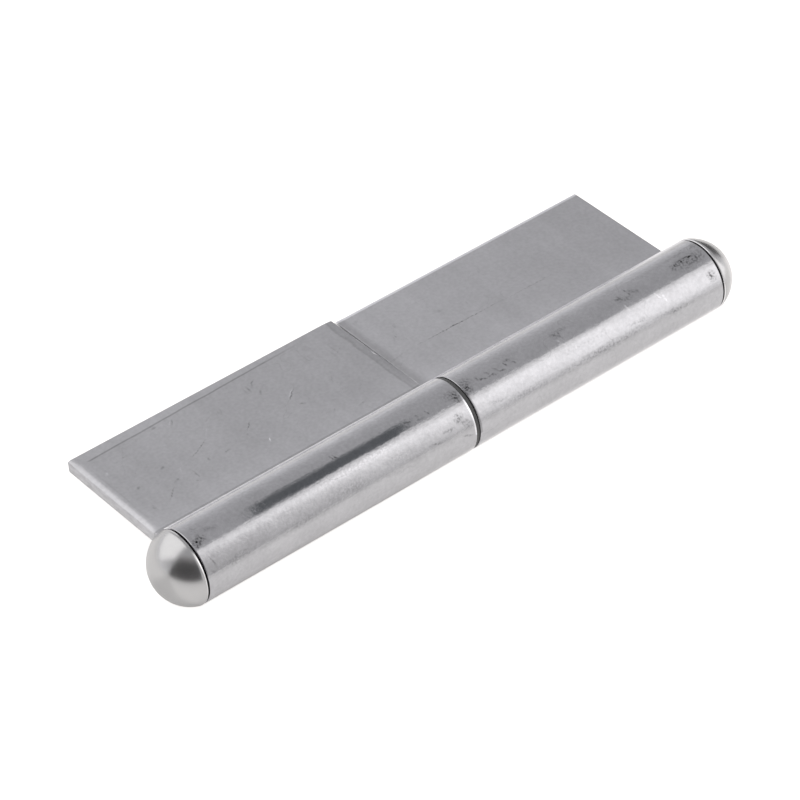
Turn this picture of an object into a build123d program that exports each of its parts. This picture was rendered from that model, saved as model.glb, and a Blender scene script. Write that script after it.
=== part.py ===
from build123d import *
import os
from math import asin, atan2, cos, degrees, hypot, radians, sin, sqrt

# A weld-on lift-off hinge. Two like leaves, each a sheet rolled into one half of the barrel,
# turn on a pin that is pressed into the lower half. A thrust washer parts the two halves, and a
# ball cap closes each end of the barrel.
# It lies closed on its side, as on a bench. X runs along the pin from the lower half to the
# upper one, Y from the barrel to the free edges of the leaves, and Z up. The origin is under
# the middle of the outline. Lengths are in millimetres and angles in degrees.

# The two leaf pressings
leaf_length = 69.5
leaf_reach = 40.0
sheet = 3.0
bore_radius = 5.5
leaf_offset = 1.0
bend_radius = 1.5
seam_gap = 0.4
free_edge_round = 0.4
blank_edge_break = 0.3
shear_roll_width = 1.8
shear_roll_depth = 0.5
shear_dish_width = 3.0
shear_dish_depth = 0.2

# The pin, which stops short of the spigots of both caps
pin_foot_room = 5.5
pin_nose_room = 9.5
pin_running_clearance = 0.05
pin_foot_chamfer = 0.6
pin_nose_chamfer = 1.5

# The thrust washer
washer_thickness = 0.9
washer_inset = 0.2
washer_float = 0.1
washer_edge_break = 0.05

# The ball caps
cap_land = 0.6
cap_crown = 6.4
cap_seam = 0.4
cap_shoulder_radius = 7.0
cap_edge_break = 0.2
spigot_length = 10.0
spigot_lead = 0.8

# How the hinge lies: the lower leaf hangs this much steeper than the upper one
rest_spread = 1.2

# The sheet's thickness outside the bore makes the knuckle, and the caps are flush with it
knuckle_radius = bore_radius + sheet
face_height = leaf_offset + sheet / 2
back_height = leaf_offset - sheet / 2
middle_gap = washer_thickness + washer_float
barrel_end = leaf_length + middle_gap / 2
cap_radius = knuckle_radius

# The upper leaf rests on its free edge, rounded, with its face downwards
edge_centre_reach = leaf_reach - free_edge_round
edge_centre_height = face_height - free_edge_round
edge_centre_drop = atan2(edge_centre_height, edge_centre_reach)
edge_centre_radius = hypot(edge_centre_reach, edge_centre_height)
upper_tilt = degrees(asin((knuckle_radius - free_edge_round) / edge_centre_radius) - edge_centre_drop)
lower_tilt = upper_tilt + rest_spread

# The lower leaf reaches furthest, so it sets how far the pin lies from the middle of the outline
lower_slope = radians(lower_tilt)
furthest_edge = edge_centre_reach * cos(lower_slope) + edge_centre_height * sin(lower_slope)
outline_reach = furthest_edge + free_edge_round
axis_y = (knuckle_radius - outline_reach) / 2


def barrel_plane(along, tilt, facing):
    """A plane across the barrel with its origin on the pin's axis and its x along a leaf."""
    slope = radians(tilt)
    return Plane(
        origin=(along, axis_y, knuckle_radius),
        x_dir=(0, cos(slope), -sin(slope)),
        z_dir=(facing, 0, 0),
    )


# Both halves are drawn on their capped end and built towards the washer, so the upper leaf is
# the lower one turned over
lower_end = barrel_plane(-barrel_end, lower_tilt, 1)
upper_end = barrel_plane(barrel_end, upper_tilt, -1)
pin_axis = Axis((0, axis_y, knuckle_radius), (1, 0, 0))


def shear_waste(roll_width, roll_depth):
    """What shearing took off a flat face beside the end of the sheet, whose corner is at the origin."""
    # The face that is left is an arc, which leaves the flat smoothly and meets the sheared end.
    # The waste reaches a sheet's thickness past the corner.
    roll_radius = (roll_width**2 + roll_depth**2) / (2 * roll_depth)
    roll_turn = degrees(asin(roll_width / roll_radius))
    with BuildSketch() as waste:
        with BuildLine():
            roll_arc = JernArc((roll_width, 0), (-1, 0), roll_radius, roll_turn)
            Polyline(
                roll_arc @ 1,
                (-sheet, -roll_depth),
                (-sheet, sheet),
                (roll_width, sheet),
                roll_arc @ 0,
            )
        make_face()
    return waste.sketch


def leaf_pressing(end):
    """One leaf: a flat sheet, bent back once and rolled round the bore to its own cut end."""
    # The bend touches the outside of the roll, which settles where the flat sheet stops
    bend_height = face_height + bend_radius
    bend_reach = sqrt((knuckle_radius + bend_radius) ** 2 - bend_height**2)
    bend_centre = (bend_reach, bend_height)
    join_angle = degrees(atan2(bend_height, bend_reach))
    bend_turn = 90 - join_angle
    # The cut end of the sheet stands the seam's width below the back of the leaf
    cut_angle = degrees(asin((back_height - seam_gap) / knuckle_radius))
    roll_turn = 360 + cut_angle - join_angle
    # Shearing drew the face down along both short ends, and more at the capped one
    capped_end_waste = shear_waste(shear_roll_width, shear_roll_depth)
    washer_end_waste = mirror(shear_waste(shear_dish_width, shear_dish_depth), about=Plane.YZ)

    with BuildPart() as pressing:
        with BuildSketch(end):
            with BuildLine():
                face = Line((leaf_reach, face_height), (bend_reach, face_height))
                CenterArc(bend_centre, bend_radius, -90, -bend_turn)
                outside = CenterArc((0, 0), knuckle_radius, join_angle, roll_turn)
                inside = CenterArc((0, 0), bore_radius, join_angle, roll_turn)
                Line(outside @ 1, inside @ 1)
                CenterArc(bend_centre, bend_radius + sheet, -90, -bend_turn)
                back = Line((bend_reach, back_height), (leaf_reach, back_height))
                Line(back @ 1, face @ 0)
            make_face()
        extrude(amount=leaf_length)

        # The long free edge is rounded, and both ends of the blank are broken all round
        free_way = Axis(end.origin, end.x_dir)
        free_face = pressing.faces().sort_by(free_way)[-1]
        fillet(free_face.edges().filter_by(Axis.X), free_edge_round)
        blank_ends = pressing.faces().filter_by(Axis.X)
        chamfer(blank_ends.edges(), blank_edge_break)

        # The waste is as long as the flat part of the leaf
        leaf_side = Plane(
            origin=end.origin + end.x_dir * (leaf_reach + sheet),
            x_dir=end.z_dir,
            z_dir=end.x_dir * -1,
        )
        with BuildSketch(leaf_side):
            with Locations((0, face_height)):
                add(capped_end_waste)
            with Locations((leaf_length, face_height)):
                add(washer_end_waste)
        extrude(amount=leaf_reach + sheet - bend_reach, mode=Mode.SUBTRACT)
    return pressing


def ball_cap(end):
    """One turned cap: a spigot pressed into the bore, a shoulder, and a ball on a narrow land."""
    crown_start = cap_seam + cap_land
    crown_tip = crown_start + cap_crown
    ball_radius = (cap_radius**2 + cap_crown**2) / (2 * cap_crown)
    cap_plane = Plane(origin=end.origin, x_dir=end.z_dir * -1, z_dir=end.x_dir)
    with BuildPart() as cap:
        with BuildSketch(cap_plane):
            with BuildLine():
                Polyline(
                    (crown_tip, 0),
                    (-spigot_length, 0),
                    (-spigot_length, bore_radius - spigot_lead),
                    (spigot_lead - spigot_length, bore_radius),
                    (0, bore_radius),
                    (0, cap_shoulder_radius),
                    (cap_seam, cap_shoulder_radius),
                    (cap_seam, cap_radius - cap_edge_break),
                    (cap_seam + cap_edge_break, cap_radius),
                    (crown_start, cap_radius),
                )
                RadiusArc((crown_start, cap_radius), (crown_tip, 0), ball_radius)
            make_face()
        revolve(axis=pin_axis)
    return cap


# Lower leaf: its knuckle holds the pin
lower_leaf = leaf_pressing(lower_end)

# Upper leaf: the same pressing turned over, free to turn on the pin and to lift off it
upper_leaf = leaf_pressing(upper_end)

# Hinge pin: the seat fills the lower bore, and the rest is ground down to run in the upper one
pin_foot = pin_foot_room + spigot_length - barrel_end
pin_step = -middle_gap / 2 - blank_edge_break
pin_nose = barrel_end - spigot_length - pin_nose_room
running_radius = bore_radius - pin_running_clearance
with BuildPart() as hinge_pin:
    with BuildSketch(Plane(origin=(0, axis_y, knuckle_radius), x_dir=(1, 0, 0), z_dir=(0, -1, 0))):
        with BuildLine():
            Polyline(
                (pin_foot, 0),
                (pin_foot, bore_radius - pin_foot_chamfer),
                (pin_foot + pin_foot_chamfer, bore_radius),
                (pin_step, bore_radius),
                (pin_step, running_radius),
                (pin_nose - pin_nose_chamfer, running_radius),
                (pin_nose, running_radius - pin_nose_chamfer),
                (pin_nose, 0),
                close=True,
            )
        make_face()
    revolve(axis=pin_axis)

# Thrust washer: it lies on the end of the lower knuckle and carries the upper one
with BuildPart() as thrust_washer:
    with BuildSketch(barrel_plane(-middle_gap / 2, lower_tilt, 1)):
        Circle(knuckle_radius - washer_inset)
        Circle(bore_radius, mode=Mode.SUBTRACT)
    extrude(amount=washer_thickness)
    rims = thrust_washer.edges().filter_by(GeomType.CIRCLE).group_by(SortBy.RADIUS)[-1]
    chamfer(rims, washer_edge_break)

# Ball caps: one for each end of the barrel
lower_ball_cap = ball_cap(lower_end)
upper_ball_cap = ball_cap(upper_end)

os.makedirs("parts", exist_ok=True)

lower_leaf.part.label = "lower_leaf"
export_step(lower_leaf.part, "parts/lower_leaf.step")

upper_leaf.part.label = "upper_leaf"
export_step(upper_leaf.part, "parts/upper_leaf.step")

hinge_pin.part.label = "hinge_pin"
export_step(hinge_pin.part, "parts/hinge_pin.step")

thrust_washer.part.label = "thrust_washer"
export_step(thrust_washer.part, "parts/thrust_washer.step")

lower_ball_cap.part.label = "lower_ball_cap"
export_step(lower_ball_cap.part, "parts/lower_ball_cap.step")

upper_ball_cap.part.label = "upper_ball_cap"
export_step(upper_ball_cap.part, "parts/upper_ball_cap.step")
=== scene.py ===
from math import asin, atan2, cos, pi, radians, sin, sqrt

import bmesh
import bpy
from mathutils import Matrix


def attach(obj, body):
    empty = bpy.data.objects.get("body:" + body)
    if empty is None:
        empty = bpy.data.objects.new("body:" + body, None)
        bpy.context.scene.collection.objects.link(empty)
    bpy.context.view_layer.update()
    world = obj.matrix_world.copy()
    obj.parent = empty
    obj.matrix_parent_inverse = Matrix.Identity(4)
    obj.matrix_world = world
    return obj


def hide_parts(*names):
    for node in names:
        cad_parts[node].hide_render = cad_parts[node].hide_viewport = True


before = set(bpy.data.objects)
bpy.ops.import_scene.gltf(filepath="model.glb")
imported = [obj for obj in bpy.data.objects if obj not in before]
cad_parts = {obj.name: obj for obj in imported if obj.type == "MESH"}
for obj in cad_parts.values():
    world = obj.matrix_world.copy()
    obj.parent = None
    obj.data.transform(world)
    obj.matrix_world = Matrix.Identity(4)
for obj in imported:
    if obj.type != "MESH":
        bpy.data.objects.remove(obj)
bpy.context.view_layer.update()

# Leaves: two like pressings of 3 mm light steel sheet. Each sheet bends back once and is rolled
# round a mandrel into its half of the barrel, which burnishes the knuckle and leaves the flat
# part as it came from the mill. The upper one is the lower one turned over.
mm = 0.001
leaf_length = 69.5 * mm
leaf_reach = 40 * mm
sheet = 3 * mm
bore_radius = 5.5 * mm
knuckle_radius = bore_radius + sheet
leaf_offset = 1 * mm
bend_radius = 1.5 * mm
seam_gap = 0.4 * mm
barrel_half = 70 * mm
pin_axis = (0, -15.6336 * mm, knuckle_radius)
lower_tilt = radians(9.9505)
upper_tilt = radians(8.7505)
free_edge_round = 0.4 * mm
blank_edge_break = 0.15 * mm
roll_steps = 112
bend_steps = 10
shear_roll_width = 1.8 * mm
shear_roll_depth = 0.5 * mm
shear_dish_width = 3 * mm
shear_dish_depth = 0.2 * mm
face_height = leaf_offset + sheet / 2
back_height = leaf_offset - sheet / 2
bend_height = face_height + bend_radius
bend_reach = sqrt((knuckle_radius + bend_radius) ** 2 - bend_height**2)


def verts_of(geometry):
    """The vertices among what a bmesh operator returns."""
    return [g for g in geometry if isinstance(g, bmesh.types.BMVert)]


def edges_of(geometry):
    """The edges among what a bmesh operator returns."""
    return [g for g in geometry if isinstance(g, bmesh.types.BMEdge)]


def faces_of(geometry):
    """The faces among what a bmesh operator returns."""
    return [g for g in geometry if isinstance(g, bmesh.types.BMFace)]


def round_edges(mesh, edges, size, segments):
    """Break sharp edges with a small round."""
    bmesh.ops.bevel(
        mesh,
        geom=edges,
        offset=size,
        offset_type="OFFSET",
        affect="EDGES",
        segments=segments,
        profile=0.5,
        material=-1,
        clamp_overlap=True,
    )


def finish_piece(name, mesh, material, body, node):
    """Turn a finished bmesh into a piece that stands for its solid and rides on its body."""
    bmesh.ops.remove_doubles(mesh, verts=mesh.verts, dist=0.0005 * mm)
    bmesh.ops.recalc_face_normals(mesh, faces=mesh.faces)
    for face in mesh.faces:
        face.smooth = True
    data = bpy.data.meshes.new(name)
    mesh.to_mesh(data)
    mesh.free()
    data.materials.append(material)
    piece = bpy.data.objects.new(name, data)
    bpy.context.scene.collection.objects.link(piece)
    weighting = piece.modifiers.new("face weighting", "WEIGHTED_NORMAL")
    weighting.keep_sharp = True
    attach(piece, body)
    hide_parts(node)
    return piece


def press_leaf():
    """One leaf on its own axes: X along the pin from the capped end, Y from the pin, Z its face."""
    mesh = bmesh.new()
    cut_angle = asin((back_height - seam_gap) / knuckle_radius)
    join_angle = atan2(bend_height, bend_reach)
    inner = mesh.verts.new((0, bore_radius * cos(cut_angle), bore_radius * sin(cut_angle)))
    outer = mesh.verts.new((0, knuckle_radius * cos(cut_angle), knuckle_radius * sin(cut_angle)))
    cut_end = mesh.edges.new((inner, outer))
    roll = bmesh.ops.spin(
        mesh,
        geom=[inner, outer, cut_end],
        cent=(0, 0, 0),
        axis=(1, 0, 0),
        angle=-(2 * pi + cut_angle - join_angle),
        steps=roll_steps,
    )
    bend = bmesh.ops.spin(
        mesh,
        geom=roll["geom_last"],
        cent=(0, bend_reach, bend_height),
        axis=(1, 0, 0),
        angle=pi / 2 - join_angle,
        steps=bend_steps,
    )
    # The flat sheet runs on from the bend to the free edge, with close steps at both
    flat_steps = (10, 11.5, 14, 19, 25, 31, 36.2, 37.4, 38.4, 39, 39.3, leaf_reach / mm)
    front = edges_of(bend["geom_last"])
    reached = bend_reach
    for reach in flat_steps:
        grown = bmesh.ops.extrude_edge_only(mesh, edges=front)["geom"]
        bmesh.ops.translate(mesh, verts=verts_of(grown), vec=(0, reach * mm - reached, 0))
        front = [e for e in edges_of(grown) if all(v in verts_of(grown) for v in e.verts)]
        reached = reach * mm
    # The section is drawn out along the pin, with close steps where shearing shaped the ends
    near_steps = (0.2, 0.4, 0.65, 0.95, 1.3, 1.8, 2.4, 3.2, 4.4)
    far_steps = [leaf_length / mm - step for step in reversed(near_steps)]
    even_steps = [8 + 6.7 * step for step in range(9)]
    section = mesh.faces[:]
    drawn = 0
    for station in (*near_steps, *even_steps, *far_steps, leaf_length / mm):
        grown = bmesh.ops.extrude_face_region(mesh, geom=section)["geom"]
        bmesh.ops.translate(mesh, verts=verts_of(grown), vec=(station * mm - drawn, 0, 0))
        if drawn:
            bmesh.ops.delete(mesh, geom=section, context="FACES")
        section = faces_of(grown)
        drawn = station * mm
    bmesh.ops.recalc_face_normals(mesh, faces=mesh.faces)
    # The free edge is rounded, and the cut ends of the blank are broken
    slack = 0.01 * mm
    at_free_edge = [e for e in mesh.edges if all(v.co.y > leaf_reach - slack for v in e.verts)]
    free_edges = [e for e in at_free_edge if abs(e.verts[0].co.x - e.verts[1].co.x) > slack]
    round_edges(mesh, free_edges, free_edge_round, 4)
    outline = [e for e in mesh.edges if len(e.link_faces) == 2 and abs(e.calc_face_angle()) > radians(60)]
    round_edges(mesh, outline, blank_edge_break, 3)
    return mesh


def drop_of_shear(distance, width, depth):
    """How far shearing drew the face down at this distance from a short end."""
    if distance > width:
        return 0
    radius = (width**2 + depth**2) / (2 * depth)
    return radius - sqrt(radius**2 - (width - distance) ** 2)


def shape_leaf(mesh, edge_wear):
    """Draw both sheared ends down, fading out at the bend and the corner, and wear the free edge."""
    bend_fade = 2 * mm
    corner_fade = 5 * mm
    corner_narrowing = 0.6
    worn_width = 1 * mm
    for vert in mesh.verts:
        fade = min(max((vert.co.y - bend_reach) / bend_fade, 0), 1)
        through = min(max((vert.co.z - back_height) / sheet, 0), 1)
        if fade and vert.co.z < bend_height:
            from_edge = leaf_reach - vert.co.y
            corner = min(max(1 - from_edge / corner_fade, 0), 1)
            narrowed = 1 - corner_narrowing * corner**2
            roll = drop_of_shear(vert.co.x, shear_roll_width * narrowed, shear_roll_depth * narrowed)
            dish = drop_of_shear(leaf_length - vert.co.x, shear_dish_width, shear_dish_depth)
            worn = edge_wear * max(1 - from_edge / worn_width, 0) ** 2
            vert.co.z -= (roll * through + dish * (0.5 + 0.5 * through)) * fade
            vert.co.z += worn * (1 - through)


def node_of(tree, kind, **inputs):
    """Add a shader node, and set or link its inputs by name or number."""
    node = tree.nodes.new("ShaderNode" + kind)
    for key, value in inputs.items():
        socket = node.inputs[int(key[1:])] if key[0] == "_" else node.inputs[key.replace("_", " ")]
        if isinstance(value, bpy.types.NodeSocket):
            tree.links.new(value, socket)
        else:
            socket.default_value = value
    return node


def math_of(tree, operation, *values):
    """One number worked out from others."""
    node = node_of(tree, "Math", **{f"_{i}": value for i, value in enumerate(values)})
    node.operation = operation
    return node.outputs[0]


def ramp_of(tree, value, start, end, low, high):
    """A smooth step from low to high as the value goes from start to end."""
    node = node_of(tree, "MapRange", _0=value, _1=start, _2=end, _3=low, _4=high)
    node.interpolation_type = "SMOOTHSTEP"
    return node.outputs[0]


def noise_of(tree, coordinates, scale, detail, stretch=(1, 1, 1)):
    """Grain, from -1 to 1, stretched along the axes."""
    stretched = node_of(tree, "VectorMath", _0=coordinates, _1=stretch)
    stretched.operation = "MULTIPLY"
    noise = node_of(tree, "TexNoise", Vector=stretched.outputs[0], Scale=scale, Detail=detail)
    return math_of(tree, "MULTIPLY_ADD", noise.outputs[0], 4.0, -2.0)


def new_material(name):
    """A material with an empty node tree and its two end nodes."""
    material = bpy.data.materials.new(name)
    material.use_nodes = True
    tree = material.node_tree
    tree.nodes.clear()
    surface = node_of(tree, "BsdfPrincipled", Metallic=1.0)
    output = node_of(tree, "OutputMaterial")
    tree.links.new(surface.outputs[0], output.inputs[0])
    return material, tree, surface


def sum_of(tree, start, terms):
    """A number with others added to it, each by its own share."""
    for value, share in terms:
        start = math_of(tree, "MULTIPLY_ADD", value, share, start)
    return start


def product_of(tree, start, *factors):
    """A number multiplied by several others."""
    for factor in factors:
        start = math_of(tree, "MULTIPLY", start, factor)
    return start


def tone_of_marks(tree, coordinates, marks):
    """How light or dark handling marks make a surface. Each is a thin oval with its own turn."""
    stray = 0.8 * mm
    fullness = 1.4
    wander = node_of(tree, "TexNoise", Vector=coordinates, Scale=900.0, Detail=2.0)
    shaken = node_of(tree, "VectorMath", _0=wander.outputs[1], _1=(stray, stray, 0), _2=coordinates)
    shaken.operation = "MULTIPLY_ADD"
    tone = 0.0
    for x, y, turn, half_length, half_width, strength in marks:
        spot = node_of(
            tree,
            "Mapping",
            Vector=shaken.outputs[0],
            Location=(x * mm + stray / 2, y * mm + stray / 2, 0),
            Rotation=(0, 0, radians(turn)),
            Scale=(half_length * mm, half_width * mm, 1),
        )
        spot.vector_type = "TEXTURE"
        mark = node_of(tree, "TexGradient", Vector=spot.outputs[0])
        mark.gradient_type = "SPHERICAL"
        tone = math_of(tree, "MULTIPLY_ADD", mark.outputs[1], fullness * strength, tone)
    return tone


def places_on_leaf(tree, tilt):
    """Where each point lies on the leaf's own axes, and on the sheet unrolled round the knuckle."""
    place = node_of(tree, "TexCoord")
    laid = node_of(
        tree,
        "Mapping",
        Vector=place.outputs["Object"],
        Location=pin_axis,
        Rotation=(-tilt, 0, 0),
    )
    laid.vector_type = "TEXTURE"
    parts = node_of(tree, "SeparateXYZ", Vector=laid.outputs[0])
    along, reach, height = parts.outputs
    turn = math_of(tree, "ARCTAN2", height, reach)
    arc = math_of(tree, "MULTIPLY", turn, knuckle_radius)
    unrolled = node_of(tree, "CombineXYZ", _0=along, _1=arc, _2=0.0)
    flat = ramp_of(tree, reach, 8.7 * mm, 9.5 * mm, 0.0, 1.0)
    return {
        "laid": laid.outputs[0],
        "unrolled": unrolled.outputs[0],
        "along": along,
        "from_middle": math_of(tree, "ABSOLUTE", along),
        "reach": reach,
        "height": height,
        "turn": turn,
        "flat": flat,
        "rolled": math_of(tree, "SUBTRACT", 1.0, flat),
        "waver": noise_of(tree, laid.outputs[0], 160.0, 2.0),
    }


def handling_tone(tree, at, marks, scuffs):
    """Handling marks on the flat face and scuffs on the knuckle, broken up by fine pits."""
    on_leaf = product_of(tree, tone_of_marks(tree, at["laid"], marks), at["flat"])
    on_knuckle = product_of(tree, tone_of_marks(tree, at["unrolled"], scuffs), at["rolled"])
    pits = noise_of(tree, at["unrolled"], 1900.0, 2.0)
    broken = ramp_of(tree, pits, -0.4, 0.6, 0.3, 1.7)
    return product_of(tree, math_of(tree, "ADD", on_leaf, on_knuckle), broken)


def painted_bend_highlight(tree, at, tilt, light):
    """A painted highlight along the top of the knuckle beside the bend."""
    beside_bend = ramp_of(tree, at["turn"], radians(43) + tilt, radians(56.5) + tilt, light, 0.0)
    above_pin = ramp_of(tree, at["height"], 0.0, 2 * mm, 0.0, 1.0)
    return product_of(tree, beside_bend, above_pin, at["rolled"])


def leaf_beside_bend(tree, at):
    """The leaf is a little paler beside the bend, and painted darker in the crease itself: painted shade,
    with some dirt.
    """
    paler = ramp_of(tree, at["reach"], 9.5 * mm, 19 * mm, 0.05, 0.0)
    painted_crease_shade = ramp_of(tree, at["reach"], 9.8 * mm, 10.1 * mm, -0.12, 0.0)
    return product_of(tree, math_of(tree, "ADD", paler, painted_crease_shade), at["flat"])


def washer_end_tone(tree, at, look):
    """A darker band with a wavering border, which runs along the end by the washer."""
    border = 2.9 * mm
    from_washer = math_of(tree, "MULTIPLY_ADD", at["waver"], 0.45 * mm, at["from_middle"])
    darker_band = ramp_of(tree, from_washer, border - look["band_softness"], border, 1.0, 0.0)
    darker_band = product_of(tree, darker_band, at["flat"])
    darker_rim = ramp_of(tree, from_washer, border - 1.1 * mm, border - 0.4 * mm, 0.0, -0.06)
    return product_of(tree, math_of(tree, "ADD", darker_rim, look["band_tone"]), darker_band)


def washer_end_highlights(tree, at, tilt, look):
    """Painted light by the washer: the knuckle's rim is painted lighter on the lower knuckle, a painted
    highlight, and darker on the upper, painted shade; and a broken painted highlight runs along the top
    edge of the leaf beside it.
    """
    section = node_of(tree, "CombineXYZ", _0=0.0, _1=at["reach"], _2=at["height"])
    from_pin = node_of(tree, "VectorMath", _0=section.outputs[0])
    from_pin.operation = "LENGTH"
    skin = knuckle_radius - 0.3 * mm
    outside = ramp_of(tree, from_pin.outputs["Value"], skin, knuckle_radius, 0.0, 1.0)
    turned_down = ramp_of(tree, at["turn"], radians(96) + tilt, radians(112) + tilt, 0.0, 1.0)
    rim = ramp_of(tree, at["from_middle"], 0.75 * mm, 1.1 * mm, look["painted_rim_light"], 0.0)
    rim = product_of(tree, rim, turned_down, outside, at["rolled"])
    top = leaf_offset + look["side_up"] * sheet / 2
    below_top = top - look["side_up"] * 0.9 * mm
    near_top = top - look["side_up"] * 0.4 * mm
    at_top = ramp_of(tree, at["height"], below_top, near_top, 0.0, 1.0)
    broken = ramp_of(tree, at["waver"], -0.2, 0.5, 0.4, 1.2)
    fading = ramp_of(tree, at["reach"], 30 * mm, 34 * mm, 1.0, look["glint_end"])
    # The glint is a painted highlight along the leaf's top edge by the washer
    glint = ramp_of(tree, at["from_middle"], 0.6 * mm, 0.8 * mm, look["glint"], 0.0)
    glint = product_of(tree, glint, at_top, at["flat"], broken, fading)
    return math_of(tree, "ADD", rim, glint)


def free_edge_tone(tree, at, look):
    """A line scored beside the free edge, with painted light that makes the strip outside it paler, and a
    painted highlight along the edge itself.
    """
    strayed = math_of(tree, "MULTIPLY_ADD", at["waver"], 0.1 * mm, at["reach"])
    strayed = math_of(tree, "MULTIPLY_ADD", at["along"], -0.025, strayed)
    from_line = math_of(tree, "SUBTRACT", strayed, 38.5 * mm)
    beside_line = math_of(tree, "ABSOLUTE", from_line)
    scored = ramp_of(tree, beside_line, 0.08 * mm, 0.3 * mm, -0.17, 0.0)
    # Outside the line the strip is painted paler: painted light for a slightly sloped strip
    outside = ramp_of(tree, from_line, 0.0, 0.5 * mm, 0.0, 0.035)
    # The line stops short of the rolled end and fades out towards the washer
    started = ramp_of(tree, at["along"], -67.8 * mm, -66 * mm, 0.0, 1.0)
    fading = ramp_of(tree, at["along"], -24 * mm, -8 * mm, look["scored_line"], 0.0)
    line = product_of(tree, math_of(tree, "ADD", scored, outside), started, fading)
    # A painted highlight along the free edge
    free_edge_highlight = ramp_of(tree, at["reach"], 38.8 * mm, 39.25 * mm, 0.0, look["painted_free_edge_highlight"])
    return math_of(tree, "ADD", line, free_edge_highlight)


def leaf_steel(name, tilt, marks, scuffs, look):
    """Bare sheet steel: mill grain and handling marks on the leaf, burnished on the knuckle, with painted
    highlights and painted shade in its colour.
    """
    material, tree, surface = new_material(name)
    at = places_on_leaf(tree, tilt)
    tone = handling_tone(tree, at, marks, scuffs)
    # A painted highlight along the knuckle beside the bend, which also roughens the steel there
    crease = painted_bend_highlight(tree, at, tilt, look["painted_crease_highlight"])
    # The flat face is mill-rolled: broad soft patches, fine grain and sparse curling hairlines
    patches = noise_of(tree, at["laid"], 90.0, 3.0)
    mottle = noise_of(tree, at["unrolled"], 330.0, 4.0)
    grain = noise_of(tree, at["laid"], 1300.0, 4.0)
    hairs = noise_of(tree, at["laid"], 500.0, 4.0, (0.25, 3, 1))
    curl = math_of(tree, "ABSOLUTE", noise_of(tree, at["laid"], 130.0, 1.0))
    sparse = ramp_of(tree, noise_of(tree, at["laid"], 70.0, 2.0), 0.1, 0.5, 0.0, 1.0)
    hairline = product_of(tree, ramp_of(tree, curl, 0.0, 0.035, 1.0, 0.0), sparse)
    # The knuckle is burnished, with fine lines along the pin and slight waves in the roll
    lines = product_of(tree, noise_of(tree, at["unrolled"], 700.0, 4.0, (0.06, 1.5, 1)), at["rolled"])
    waves = product_of(tree, noise_of(tree, at["unrolled"], 220.0, 3.0, (0.6, 1.3, 1)), at["rolled"])
    specks = noise_of(tree, at["unrolled"], 1500.0, 3.0)
    # The sheared end is torn in streaks
    end_face = ramp_of(tree, at["from_middle"], 69.92 * mm, 69.99 * mm, 0.0, 1.0)
    torn = product_of(tree, noise_of(tree, at["laid"], 700.0, 4.0, (1, 0.5, 1.6)), end_face)
    # The flat face is painted a little paler on the upper leaf than on the lower: painted light on two
    # like pressings
    plain_light = math_of(tree, "MULTIPLY_ADD", at["flat"], look["painted_leaf_light"], 0.527)
    tones = [(patches, 0.024), (mottle, 0.025), (grain, 0.04), (hairline, -0.05), (tone, 1.0)]
    tones += [(washer_end_tone(tree, at, look), 1.0), (crease, 1.0)]
    tones += [(leaf_beside_bend(tree, at), 1.0), (washer_end_highlights(tree, at, tilt, look), 1.0)]
    tones += [(free_edge_tone(tree, at, look), 1.0), (torn, 0.08)]
    red = sum_of(tree, plain_light, tones)
    green = math_of(tree, "MULTIPLY", red, 0.992)
    blue = math_of(tree, "MULTIPLY", red, 1.03)
    colour = node_of(tree, "CombineColor", _0=red, _1=green, _2=blue)
    tree.links.new(colour.outputs[0], surface.inputs["Base Color"])
    plain_rough = math_of(tree, "MULTIPLY_ADD", at["flat"], 0.27, 0.14)
    depth_of_tone = math_of(tree, "ABSOLUTE", tone)
    roughening = [(hairs, 0.015), (mottle, 0.035), (depth_of_tone, 0.3), (crease, 0.55)]
    rough = sum_of(tree, plain_rough, roughening)
    tree.links.new(rough, surface.inputs["Roughness"])
    heights = [(hairs, 0.3), (specks, 0.45), (mottle, 0.5), (waves, 1.6), (tone, 4.0), (hairline, -0.5)]
    relief = sum_of(tree, math_of(tree, "MULTIPLY", lines, 0.6), heights)
    bump = node_of(tree, "Bump", Strength=0.5, Distance=0.02 * mm, Height=relief)
    tree.links.new(bump.outputs[0], surface.inputs["Normal"])
    return material


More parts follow.
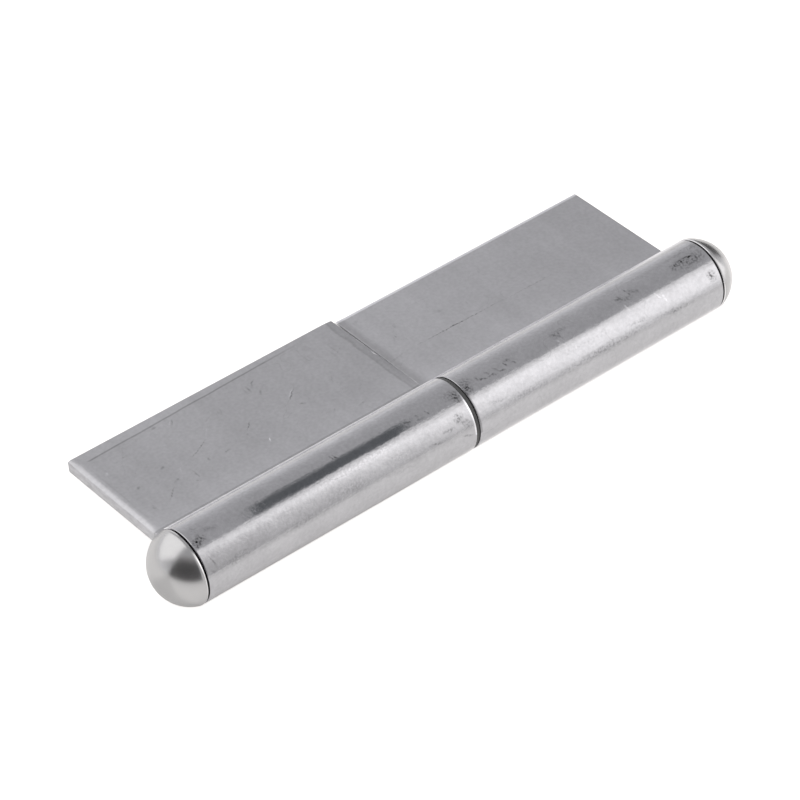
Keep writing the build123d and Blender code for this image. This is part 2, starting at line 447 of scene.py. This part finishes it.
# Marks: place along the pin, place across the leaf, turn, half length, half width, tone
lower_marks = [
    (-50.7, 36.4, 10, 0.9, 0.5, -0.1),
    (-47.2, 35.4, 52, 1.5, 0.17, 0.14),
    (-46.8, 35.2, 52, 1.5, 0.17, -0.16),
    (-28.3, 33, 20, 1.7, 1.3, -0.07),
    (-26.2, 34.4, 50, 1.4, 0.25, -0.16),
    (-26.9, 30.6, 60, 1.2, 0.4, -0.08),
    (-47.6, 24.6, 27, 3.2, 0.22, -0.18),
    (-43.6, 27.4, 52, 2, 0.18, 0.12),
    (-22.8, 25.4, 38, 3.2, 0.22, -0.14),
    (-22.3, 26.2, 38, 2.6, 0.16, 0.12),
    (-35.4, 23.6, 42, 1.9, 0.22, -0.18),
    (-37.3, 21.6, 30, 0.5, 0.4, -0.14),
    (-48, 20.8, 40, 1.2, 0.5, -0.08),
    (-43.8, 20.1, 5, 1.1, 0.35, -0.14),
    (-64.2, 23, 10, 1.1, 0.6, -0.09),
    (-56.8, 24.8, 30, 0.8, 0.5, -0.1),
    (-57, 19.6, 30, 1.1, 0.5, -0.12),
    (-60.2, 17, 42, 2.6, 0.22, -0.12),
    (-65.4, 16, 95, 1.4, 0.4, -0.09),
    (-35, 17.1, 65, 0.9, 0.18, 0.2),
    (-22.6, 21.7, -40, 0.9, 0.35, -0.1),
    (-13.2, 13.4, 12, 1.5, 0.35, -0.09),
    (-7, 31, 60, 4, 2, -0.03),
    # This one is a painted highlight: a short bright piece of the glint along the edge by the washer
    (-0.8, 24.6, 90, 1.4, 0.2, 0.55),
    (-13, 32.5, 20, 2.4, 1.6, -0.035),
    (-11, 35.5, 60, 1.4, 1.2, -0.035),
    (-6, 30.4, 30, 1.3, 0.3, -0.05),
    (-12.6, 24.6, 60, 2.4, 0.25, -0.06),
    (-12.4, 21.4, 20, 1, 0.4, -0.07),
    (-9.6, 22.6, 60, 1.5, 0.2, -0.05),
    (-19, 15.4, 40, 1.2, 0.3, -0.05),
    (-40, 31.2, 20, 2.2, 0.2, -0.06),
    (-62, 27.5, 100, 1.6, 0.3, -0.05),
    (-60.6, 33, 10, 3, 0.3, -0.05),
    (-66.4, 31, 40, 0.8, 0.4, 0.07),
    (-54.4, 21.8, 60, 1, 0.25, 0.07),
    (-52.8, 18.6, 90, 1.6, 0.3, -0.08),
    (-53.8, 16.6, 150, 1.2, 0.25, -0.07),
    (-68.3, 26, 90, 14, 0.9, -0.035),
]
upper_marks = [
    (20, 21.75, -1, 14, 0.18, -0.24),
    (40, 21.2, -1, 10, 0.16, -0.1),
    (7, 27.3, 45, 1.5, 0.5, -0.09),
    (9, 30, 60, 1.2, 0.6, -0.06),
    (8.2, 25.6, 100, 1.6, 0.3, -0.04),
    (3, 21.6, 10, 4, 0.5, -0.05),
    (3.6, 36.7, 40, 1, 0.6, -0.07),
    (19.6, 27.8, -10, 1.8, 0.6, -0.035),
    (26, 25.8, 60, 1, 0.3, -0.06),
    (35.6, 33, 50, 1.6, 0.5, -0.05),
    (63, 20.8, 40, 0.7, 0.3, 0.08),
    (62, 30.6, 10, 0.8, 0.4, 0.05),
]


def scuffs_of(tilt, scuffs):
    """Scuffs on a knuckle, placed by their angle round the pin above the table's level."""
    around = knuckle_radius / mm
    spread = 1.4
    placed = []
    for x, angle, turn, half_length, half_width, tone in scuffs:
        arc = around * (radians(angle) + tilt)
        placed.append((x, arc, turn, half_length, spread * half_width, tone))
    return placed


# Scuffs: place along the pin, angle round it, turn, half length, half width, tone
lower_scuffs = [
    (-33.4, 93, 80, 0.9, 0.2, -0.24),
    (-32.6, 95, 70, 1, 0.2, -0.2),
    (-68.8, 105, 60, 1.2, 0.8, -0.4),
    (-67.4, 101, 50, 1.4, 0.8, -0.2),
    (-65, 94, 10, 2.4, 0.6, -0.07),
    (-67.5, 84, 60, 1.6, 0.6, -0.06),
    (-67.8, 138, 70, 1.6, 0.3, -0.14),
    (-68.2, 150, 30, 0.7, 0.3, -0.14),
    (-1.9, 104, 80, 2.4, 1, -0.22),
    (-3.4, 99, 60, 1.8, 1.2, -0.08),
    (-14.5, 102, 15, 1.2, 0.2, -0.18),
    (-12, 101, 60, 0.6, 0.25, -0.16),
    (-9.5, 104, 70, 0.9, 0.2, -0.16),
    (-11.5, 107, 5, 1.5, 0.25, -0.08),
    (-4, 133, 60, 1.6, 1, -0.16),
    (-2.6, 145, 40, 1.8, 0.8, -0.12),
    (-7, 142, 10, 2.6, 0.4, -0.1),
    (-11, 150, 8, 2.8, 0.3, -0.09),
    (-3, 163, 20, 1.8, 0.3, -0.12),
    (-45, 152, 2, 9, 1, -0.05),
    (-62, 150, -2, 7, 0.9, -0.06),
    (-34, 143, 3, 8, 1.2, -0.05),
    (-20, 139, 3, 4, 1, -0.04),
    (-30, 121, 0, 15, 0.8, 0.05),
    (-24, 118, 0, 6, 0.4, 0.06),
    (-20, 160, 4, 5, 0.4, -0.05),
]
upper_scuffs = [
    (1.6, 100, 80, 2.6, 1.1, -0.22),
    (3, 92, 60, 2.2, 0.8, -0.08),
    (4.8, 97, 70, 0.9, 0.25, -0.2),
    (6, 101, 15, 1.2, 0.25, -0.24),
    (7.6, 96, 40, 0.8, 0.3, -0.18),
    (8.4, 103, 10, 1.4, 0.25, -0.24),
    (9.8, 98, 60, 0.8, 0.3, -0.2),
    (11, 104, 20, 1, 0.25, -0.24),
    (12.4, 98, 75, 0.9, 0.25, -0.2),
    (13.4, 94, 20, 1, 0.4, -0.12),
    (14.5, 102, 45, 0.7, 0.25, -0.16),
    (26.5, 97, 30, 1.4, 1, -0.14),
    (28.5, 93, 10, 1.6, 0.5, -0.1),
    (27.4, 101, 80, 1.2, 0.25, -0.16),
    (44.5, 96, 20, 1.4, 0.8, -0.12),
    (47.5, 92, 85, 1.6, 0.25, -0.2),
    (49, 97, 30, 1.8, 0.5, -0.14),
    (46, 101, 10, 2.6, 0.5, -0.12),
    (61.2, 93, 20, 1.4, 0.3, -0.24),
    (63, 92, 4, 1.8, 0.4, -0.24),
    (65.4, 91, 0, 1.6, 0.35, -0.28),
    (64.4, 99, 8, 4.6, 1.8, -0.13),
    (60.6, 98, 60, 1, 0.4, -0.14),
    (67.4, 97, 10, 2.4, 1.4, -0.12),
    (69, 84, 0, 0.8, 3, -0.05),
    (35, 150.5, 0, 19, 0.8, -0.09),
    (14, 149, 2, 8, 0.8, -0.07),
    (6, 139, 10, 3, 0.4, -0.08),
    (30, 128, 3, 9, 0.6, -0.04),
    (26.5, 110, 60, 1.2, 0.2, 0.14),
    (45, 113, 70, 1.2, 0.25, 0.12),
    (53, 119, 60, 1.4, 0.2, 0.14),
    (54.5, 128, 80, 1.8, 0.2, 0.12),
    (46, 140, 5, 4, 0.5, -0.08),
    (56, 152, 5, 6, 0.5, -0.12),
    (67.8, 134, 60, 1.8, 1, -0.2),
]

# The lower leaf lies with its face up
lower_look = {
    "side_up": 1,
    "painted_leaf_light": 0.012,
    "painted_crease_highlight": 0.48,
    "painted_rim_light": 0.42,
    "glint": 0.34,
    "glint_end": 0.1,
    "scored_line": 1.0,
    "painted_free_edge_highlight": 0.0,
    "band_softness": 0.5 * mm,
    "band_tone": -0.055,
}
lower_placed = scuffs_of(lower_tilt, lower_scuffs)
lower_steel = leaf_steel("lower leaf steel", lower_tilt, lower_marks, lower_placed, lower_look)
lower = press_leaf()
shape_leaf(lower, 0)
bmesh.ops.translate(lower, verts=lower.verts, vec=(-barrel_half, 0, 0))
lower_turn = Matrix.Rotation(-lower_tilt, 3, "X")
bmesh.ops.rotate(lower, verts=lower.verts, cent=(0, 0, 0), matrix=lower_turn)
bmesh.ops.translate(lower, verts=lower.verts, vec=pin_axis)
finish_piece("near_leaf", lower, lower_steel, "lower_half", "lower_leaf")

# The upper leaf lies with its back up, and its free edge is worn
upper_edge_wear = 0.08 * mm
upper_look = {
    "side_up": -1,
    "painted_leaf_light": 0.085,
    "painted_crease_highlight": 0.36,
    "painted_rim_light": -0.2,
    "glint": 0.5,
    "glint_end": 1.0,
    "scored_line": 0.0,
    "painted_free_edge_highlight": 0.36,
    "band_softness": 1.6 * mm,
    "band_tone": -0.1,
}
upper_placed = scuffs_of(upper_tilt, upper_scuffs)
upper_steel = leaf_steel("upper leaf steel", upper_tilt, upper_marks, upper_placed, upper_look)
upper = press_leaf()
shape_leaf(upper, upper_edge_wear)
bmesh.ops.translate(upper, verts=upper.verts, vec=(-barrel_half, 0, 0))
upper_turn = Matrix.Rotation(-upper_tilt, 3, "X") @ Matrix.Rotation(pi, 3, "Y")
bmesh.ops.rotate(upper, verts=upper.verts, cent=(0, 0, 0), matrix=upper_turn)
bmesh.ops.translate(upper, verts=upper.verts, vec=pin_axis)
finish_piece("far_leaf", upper, upper_steel, "upper_half", "upper_leaf")

# Hinge pin: a ground steel rod pressed into the lower knuckle. The half that stands out is a
# sliding fit in the upper knuckle, and its nose is chamfered to find the bore.
pin_foot = -54.5 * mm
pin_step = -0.8 * mm
pin_nose = 50.5 * mm
pin_running_radius = 5.45 * mm
pin_foot_chamfer = 0.6 * mm
pin_nose_chamfer = 1.5 * mm
around_steps = 128


def turn_round(mesh, profile):
    """Turn a profile all the way round the pin."""
    bmesh.ops.spin(
        mesh,
        geom=profile,
        cent=(0, 0, 0),
        axis=(1, 0, 0),
        angle=2 * pi,
        steps=around_steps,
        use_merge=True,
    )
    bmesh.ops.remove_doubles(mesh, verts=mesh.verts, dist=0.0005 * mm)


def chain_of(mesh, corners):
    """Points joined in a row, given as place along the pin and radius."""
    chain = [mesh.verts.new((x, 0, radius)) for x, radius in corners]
    for pair in zip(chain, chain[1:]):
        mesh.edges.new(pair)
    return chain


def turn_profile(corners):
    """A closed body turned from a chain of corners."""
    mesh = bmesh.new()
    chain_of(mesh, corners)
    turn_round(mesh, mesh.verts[:] + mesh.edges[:])
    return mesh


pin_corners = [
    (pin_foot, 0),
    (pin_foot, bore_radius - pin_foot_chamfer),
    (pin_foot + pin_foot_chamfer, bore_radius),
    (pin_step, bore_radius),
    (pin_step, pin_running_radius),
    (pin_nose - pin_nose_chamfer, pin_running_radius),
    (pin_nose, pin_running_radius - pin_nose_chamfer),
    (pin_nose, 0),
]
pin_steel, tree, surface = new_material("ground pin steel")
place = node_of(tree, "TexCoord")
laid = node_of(tree, "Mapping", Vector=place.outputs["Object"], Location=pin_axis)
laid.vector_type = "TEXTURE"
rings = noise_of(tree, laid.outputs[0], 900.0, 4.0, (3, 0.08, 0.08))
wear = noise_of(tree, laid.outputs[0], 120.0, 3.0)
pin_tone = math_of(tree, "MULTIPLY_ADD", wear, 0.02, 0.48)
pin_blue = math_of(tree, "MULTIPLY", pin_tone, 1.03)
pin_colour = node_of(tree, "CombineColor", _0=pin_tone, _1=pin_tone, _2=pin_blue)
tree.links.new(pin_colour.outputs[0], surface.inputs["Base Color"])
tree.links.new(math_of(tree, "MULTIPLY_ADD", wear, 0.03, 0.2), surface.inputs["Roughness"])
pin_bump = node_of(tree, "Bump", Strength=0.3, Distance=0.01 * mm, Height=rings)
tree.links.new(pin_bump.outputs[0], surface.inputs["Normal"])
pin = turn_profile(pin_corners)
bmesh.ops.translate(pin, verts=pin.verts, vec=pin_axis)
finish_piece("pin", pin, pin_steel, "lower_half", "hinge_pin")

# Thrust washer: a ring stamped from dark grey plastic. It lies loose on the end of the lower
# knuckle, round the pin, and carries the weight of the upper one.
washer_start = -0.5 * mm
washer_thickness = 0.9 * mm
washer_radius = 8.3 * mm
washer_break = 0.05 * mm
washer_corners = [
    (washer_start, bore_radius),
    (washer_start, washer_radius - washer_break),
    (washer_start + washer_break, washer_radius),
    (washer_start + washer_thickness - washer_break, washer_radius),
    (washer_start + washer_thickness, washer_radius - washer_break),
    (washer_start + washer_thickness, bore_radius),
    (washer_start, bore_radius),
]
washer_plastic, tree, surface = new_material("dark washer plastic")
surface.inputs["Metallic"].default_value = 0
place = node_of(tree, "TexCoord")
speckle = noise_of(tree, place.outputs["Object"], 1800.0, 3.0)
washer_tone = math_of(tree, "MULTIPLY_ADD", speckle, 0.012, 0.085)
washer_colour = node_of(tree, "CombineColor", _0=washer_tone, _1=washer_tone, _2=washer_tone)
tree.links.new(washer_colour.outputs[0], surface.inputs["Base Color"])
tree.links.new(math_of(tree, "MULTIPLY_ADD", speckle, 0.05, 0.5), surface.inputs["Roughness"])
washer_bump = node_of(tree, "Bump", Strength=0.4, Distance=0.02 * mm, Height=speckle)
tree.links.new(washer_bump.outputs[0], surface.inputs["Normal"])
washer = turn_profile(washer_corners)
bmesh.ops.translate(washer, verts=washer.verts, vec=pin_axis)
finish_piece("washer", washer, washer_plastic, "washer", "thrust_washer")

# Ball caps: two like steel caps, each turned in one piece. The spigot is pressed into the end of
# the bore, and a groove under the narrow land keeps the ball clear of the rolled knuckle.
cap_radius = knuckle_radius
cap_seam = 0.4 * mm
cap_land = 0.6 * mm
cap_crown = 6.4 * mm
cap_shoulder_radius = 7 * mm
spigot_length = 10 * mm
spigot_lead = 0.8 * mm
cap_break = 0.12 * mm
crown_steps = 40
crown_start = cap_seam + cap_land
crown_tip = crown_start + cap_crown
ball_radius = (cap_radius**2 + cap_crown**2) / (2 * cap_crown)


def turn_cap():
    """One ball cap on its own axis, with X out of the barrel from the end of the knuckle."""
    mesh = bmesh.new()
    corners = [
        (-spigot_length, 0),
        (-spigot_length, bore_radius - spigot_lead),
        (spigot_lead - spigot_length, bore_radius),
        (0, bore_radius),
        (0, cap_shoulder_radius),
        (cap_seam, cap_shoulder_radius),
        (cap_seam, cap_radius - cap_break),
        (cap_seam + cap_break, cap_radius),
        (crown_start, cap_radius),
    ]
    chain = chain_of(mesh, corners)
    bmesh.ops.spin(
        mesh,
        geom=[chain[-1]],
        cent=(crown_tip - ball_radius, 0, 0),
        axis=(0, 1, 0),
        angle=atan2(cap_radius, crown_start - crown_tip + ball_radius),
        steps=crown_steps,
    )
    turn_round(mesh, mesh.verts[:] + mesh.edges[:])
    return mesh


def cap_steel(name, foot):
    """Turned and polished steel with fine rings about the pin, a few smudges and a painted highlight
    along the edge by the knuckle.
    """
    material, tree, surface = new_material(name)
    place = node_of(tree, "TexCoord")
    end_of_knuckle = (foot, pin_axis[1], pin_axis[2])
    laid = node_of(tree, "Mapping", Vector=place.outputs["Object"], Location=end_of_knuckle)
    laid.vector_type = "TEXTURE"
    parts = node_of(tree, "SeparateXYZ", Vector=laid.outputs[0])
    flat = node_of(tree, "CombineXYZ", _0=0.0, _1=parts.outputs[1], _2=parts.outputs[2])
    from_axis = node_of(tree, "VectorMath", _0=flat.outputs[0])
    from_axis.operation = "LENGTH"
    ring_place = node_of(tree, "CombineXYZ", _0=from_axis.outputs["Value"], _1=0.0, _2=0.0)
    rings = noise_of(tree, ring_place.outputs[0], 5000.0, 2.0)
    smudges = noise_of(tree, laid.outputs[0], 200.0, 3.0)
    specks = noise_of(tree, laid.outputs[0], 1500.0, 3.0)
    tone = math_of(tree, "MULTIPLY_ADD", smudges, 0.015, 0.54)
    tone = math_of(tree, "MULTIPLY_ADD", specks, 0.008, tone)
    outwards = math_of(tree, "ABSOLUTE", parts.outputs[0])
    # A painted highlight along the cap's edge by the knuckle
    painted_edge_highlight = ramp_of(tree, outwards, cap_seam + 0.1 * mm, cap_seam + 0.4 * mm, 0.4, 0.0)
    tone = math_of(tree, "ADD", tone, painted_edge_highlight)
    colour = node_of(tree, "CombineColor", _0=tone, _1=math_of(tree, "MULTIPLY", tone, 0.99), _2=tone)
    tree.links.new(colour.outputs[0], surface.inputs["Base Color"])
    tree.links.new(math_of(tree, "MULTIPLY_ADD", smudges, 0.03, 0.25), surface.inputs["Roughness"])
    relief = math_of(tree, "MULTIPLY_ADD", rings, 0.5, specks)
    bump = node_of(tree, "Bump", Strength=0.14, Distance=0.01 * mm, Height=relief)
    tree.links.new(bump.outputs[0], surface.inputs["Normal"])
    return material


near_cap = turn_cap()
near_cap_steel = cap_steel("lower cap steel", -barrel_half)
bmesh.ops.rotate(near_cap, verts=near_cap.verts, cent=(0, 0, 0), matrix=Matrix.Rotation(pi, 3, "Y"))
bmesh.ops.translate(near_cap, verts=near_cap.verts, vec=(-barrel_half, pin_axis[1], pin_axis[2]))
finish_piece("near_cap", near_cap, near_cap_steel, "lower_half", "lower_ball_cap")

far_cap = turn_cap()
far_cap_steel = cap_steel("upper cap steel", barrel_half)
bmesh.ops.translate(far_cap, verts=far_cap.verts, vec=(barrel_half, pin_axis[1], pin_axis[2]))
finish_piece("far_cap", far_cap, far_cap_steel, "upper_half", "upper_ball_cap")

# Studio: a white table top that glows a little, so that it stays white round the object, under
# a grey ceiling. Two soft boxes and three cards, out of the camera's sight, show in the metal.
floor_size = 3.0


def stage_plane(name, width, depth, place, turn, material, seen):
    """A flat sheet of the set, centred at a place and turned by three angles."""
    mesh = bmesh.new()
    bmesh.ops.create_grid(mesh, x_segments=1, y_segments=1, size=0.5)
    bmesh.ops.scale(mesh, verts=mesh.verts, vec=(width, depth, 1))
    data = bpy.data.meshes.new(name)
    mesh.to_mesh(data)
    mesh.free()
    data.materials.append(material)
    plane = bpy.data.objects.new(name, data)
    plane.location = place
    plane.rotation_euler = [radians(angle) for angle in turn]
    plane.visible_camera = seen
    bpy.context.scene.collection.objects.link(plane)
    return plane


def glow(name, colour, strength):
    """A surface that glows evenly, for a sheet of the set."""
    material = bpy.data.materials.new(name)
    material.use_nodes = True
    tree = material.node_tree
    tree.nodes.clear()
    emission = node_of(tree, "Emission", Color=colour, Strength=strength)
    output = node_of(tree, "OutputMaterial")
    tree.links.new(emission.outputs[0], output.inputs[0])
    return material


def places_on_sheet(tree):
    """How far each point of a sheet lies from its middle, along its width and its depth."""
    place = node_of(tree, "TexCoord")
    parts = node_of(tree, "SeparateXYZ", Vector=place.outputs["Object"])
    return parts.outputs[0], parts.outputs[1]


def shine_by(tree, strength):
    """Let the glow of a sheet change from place to place."""
    tree.links.new(strength, tree.nodes["Emission"].inputs["Strength"])


# The table glows for the camera. The metal mirrors less of that glow, and least far out
table_white = bpy.data.materials.new("table white")
table_white.use_nodes = True
tree = table_white.node_tree
tree.nodes.clear()
paper = node_of(tree, "BsdfDiffuse", Color=(0.8, 0.795, 0.785, 1))
place = node_of(tree, "TexCoord")
drawn_in = node_of(tree, "VectorMath", _0=place.outputs["Object"], _1=(0.45, 1, 0))
drawn_in.operation = "MULTIPLY"
from_hinge = node_of(tree, "VectorMath", _0=drawn_in.outputs[0])
from_hinge.operation = "LENGTH"
mirrored_glow = ramp_of(tree, from_hinge.outputs["Value"], 0.03, 0.14, 0.40, 0.23)
rays = node_of(tree, "LightPath")
seen = math_of(tree, "MAXIMUM", rays.outputs["Is Glossy Ray"], rays.outputs["Is Transmission Ray"])
# Under the barrel, the far half mirrors more of the table's glow than the near half
along_table, across_table = places_on_sheet(tree)
barrel_front = ramp_of(tree, across_table, -26.5 * mm, -21.8 * mm, 0.0, 1.0)
barrel_back = ramp_of(tree, across_table, -12 * mm, -4 * mm, 1.0, 0.0)
to_far_half = ramp_of(tree, along_table, -20 * mm, 10 * mm, -0.2, 0.22)
barrel_glow = product_of(tree, to_far_half, barrel_front, barrel_back)
mirrored_sum = math_of(tree, "ADD", mirrored_glow, barrel_glow)
seen_glow = math_of(tree, "MULTIPLY", seen, mirrored_sum)
table_glow = math_of(tree, "MULTIPLY_ADD", rays.outputs["Is Camera Ray"], 0.75, seen_glow)
own = node_of(tree, "Emission", Color=(1, 0.98, 0.955, 1), Strength=table_glow)
both = node_of(tree, "AddShader")
tree.links.new(paper.outputs[0], both.inputs[0])
tree.links.new(own.outputs[0], both.inputs[1])
table_output = node_of(tree, "OutputMaterial")
tree.links.new(both.outputs[0], table_output.inputs[0])
stage_plane("table", floor_size, floor_size, (0, 0, 0), (0, 0, 0), table_white, True)

# The key box stands on the barrel's side and fades towards its left, its top and its left foot
key_glow = glow("key softbox", (1, 0.99, 0.985, 1), 1.0)
tree = key_glow.node_tree
along_box, up_box = places_on_sheet(tree)
from_left = ramp_of(tree, along_box, -0.70, -0.45, 0.0, 1.0)
from_top = ramp_of(tree, up_box, -0.30, 0.40, 1.0, 0.4)
above_foot = ramp_of(tree, up_box, -0.66, -0.45, 0.2, 1.0)
right_of_foot = ramp_of(tree, along_box, -0.35, -0.15, 0.0, 1.0)
from_foot = math_of(tree, "MAXIMUM", above_foot, right_of_foot)
heart = product_of(tree, from_left, from_foot, from_top)
shine_by(tree, math_of(tree, "MULTIPLY_ADD", heart, 0.95, 0.62))
stage_plane("key_box", 1.5, 1.2, (0.73, -0.30, 0.60), (90, 0, 0), key_glow, False)

# The fill box leans over the leaves
fill_glow = glow("fill softbox", (1, 0.995, 0.99, 1), 1.35)
stage_plane("fill_box", 1.0, 0.9, (-0.515, 0.40, 0.50), (-50, 0, 0), fill_glow, False)

# The side of the room behind the camera is dark, and paler higher up
camera_grey = glow("dark side of the room", (1, 0.97, 0.975, 1), 0.1)
tree = camera_grey.node_tree
up_wall = places_on_sheet(tree)[1]
shine_by(tree, ramp_of(tree, up_wall, 0.0, 0.7, 0.1, 0.4))
wall_place = (-0.56, -0.47, 0.6)
camera_card = stage_plane("camera_card", 1.25, 1.5, wall_place, (90, 0, -50), camera_grey, False)
camera_card.visible_diffuse = False

# The card past the far end darkens the far cap, and is paler at its top and at one side
far_grey = glow("dark card by the far end", (1, 0.99, 1, 1), 0.08)
tree = far_grey.node_tree
along_card, up_card = places_on_sheet(tree)
lighter_top = ramp_of(tree, up_card, -0.02, 0.10, 0.08, 0.26)
lighter_side = ramp_of(tree, along_card, -0.30, -0.18, 0.28, 0.0)
shine_by(tree, math_of(tree, "MAXIMUM", lighter_top, lighter_side))
far_card = stage_plane("far_card", 0.66, 0.46, (0.73, 0.34, 0.24), (90, 0, 115), far_grey, False)
far_card.visible_diffuse = False

# A small grey card hangs over the near half, and only its mirror image in the knuckle is seen
card_grey = glow("grey card", (0.9, 0.95, 1, 1), 0.17)
tree = card_grey.node_tree
across_strip = places_on_sheet(tree)[1]
faded = ramp_of(tree, across_strip, 4 * mm, 12.5 * mm, 0.0, 1.0)
clear = node_of(tree, "BsdfTransparent")
feather = node_of(tree, "MixShader", _1=tree.nodes["Emission"].outputs[0], _2=clear.outputs[0])
tree.links.new(faded, feather.inputs[0])
tree.links.new(feather.outputs[0], tree.nodes["Material Output"].inputs[0])
strip_place = (-17 * mm, -12.5 * mm, 52 * mm)
strip_size = (42.5 * mm, 25 * mm)
strip_card = stage_plane("strip_card", *strip_size, strip_place, (0, 0, -3.4), card_grey, False)
strip_card.visible_diffuse = False
strip_card.visible_shadow = False

# The ceiling is grey, and darkest straight above
world = bpy.data.worlds.new("grey studio")
world.use_nodes = True
bpy.context.scene.world = world
tree = world.node_tree
tree.nodes.clear()
sky = node_of(tree, "TexCoord")
up = node_of(tree, "SeparateXYZ", Vector=sky.outputs["Generated"])
below_top = node_of(tree, "MapRange", _0=up.outputs[2], _1=0.0, _2=0.95, _3=1.0, _4=0.0)
ceiling = math_of(tree, "MULTIPLY_ADD", math_of(tree, "POWER", below_top.outputs[0], 2.6), 0.46, 0.53)
rays = node_of(tree, "LightPath")
open_air = math_of(tree, "MAXIMUM", ceiling, rays.outputs["Is Camera Ray"])
air = node_of(tree, "Background", Color=(0.985, 0.985, 1, 1), Strength=open_air)
world_output = node_of(tree, "OutputWorld")
tree.links.new(air.outputs[0], world_output.inputs[0])

# Camera: it stands to the left of the barrel's near end and looks down along it with a long lens.
camera_data = bpy.data.cameras.new("camera")
camera_data.sensor_width = 36
camera_data.lens = 149.445
camera = bpy.data.objects.new("camera", camera_data)
camera.matrix_world = Matrix(
    (
        (0.76936613, 0.42972144, -0.47266821, -0.3349015),
        (-0.63537137, 0.59141077, -0.49652445, -0.3511396),
        (0.06617387, 0.68232895, 0.72804411, 0.5145160),
        (0, 0, 0, 1),
    )
)
bpy.context.scene.collection.objects.link(camera)
bpy.context.scene.camera = camera
bpy.context.scene.view_settings.view_transform = "Standard"
